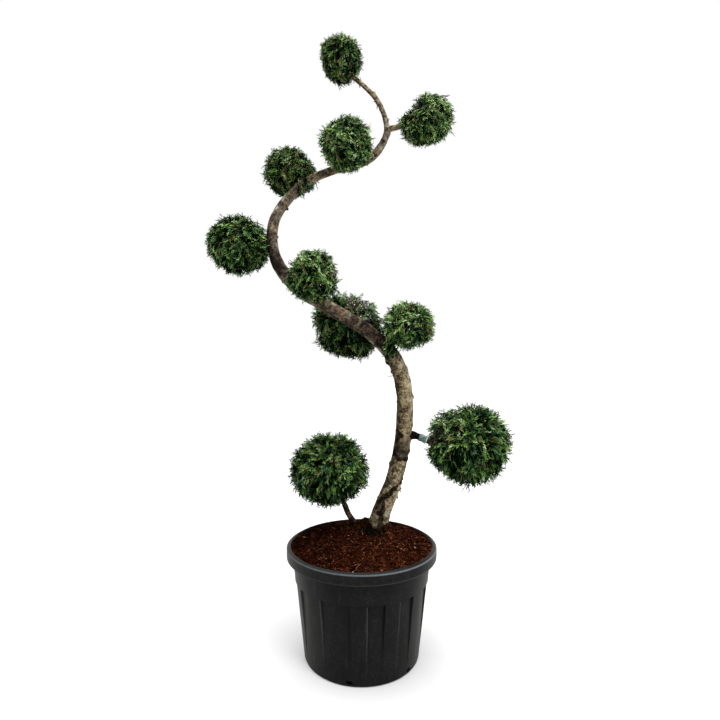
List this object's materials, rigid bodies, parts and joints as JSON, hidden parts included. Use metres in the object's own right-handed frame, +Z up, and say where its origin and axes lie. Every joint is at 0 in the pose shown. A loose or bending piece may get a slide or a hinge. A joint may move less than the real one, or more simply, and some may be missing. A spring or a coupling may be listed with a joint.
{
  "type": "spiral topiary",
  "caption": "Potted conifer clipped into pompom balls along a bare stem that climbs in a spiral, in a round black nursery pot.",
  "frame": {"origin": "centre of the pot's flat underside, on the ground", "axes": "+Z up, -Y the front, +X to the right seen from the front"},
  "size_m": [1.2181, 0.6108, 2.4278],
  "materials": {
    "pot_plastic": "smooth dark nursery plastic, slightly dusty",
    "mulch": "moist shredded bark and fibre",
    "bark": "rough grey-tan bark with dark patches",
    "foliage": "fine evergreen scale leaves",
    "tie_band": "soft pale green tying tape"
  },
  "bodies": {
    "root": {"pot": "pot_plastic", "soil": "mulch", "stem_foot_length": "bark", "stem_crossing_length": "bark", "stem_return_length": "bark", "stem_tip_length": "bark", "low_left_bough": "bark", "low_right_bough": "bark", "top_right_bough": "bark", "tie_band": "tie_band", "ball_low_left": "foliage", "ball_low_right": "foliage", "ball_knee": "foliage", "ball_crossing_back": "foliage", "ball_crossing_front": "foliage", "ball_far_left": "foliage", "ball_return_back": "foliage", "ball_return_front": "foliage", "ball_top_right": "foliage", "ball_top": "foliage"}
  },
  "joints": []
}
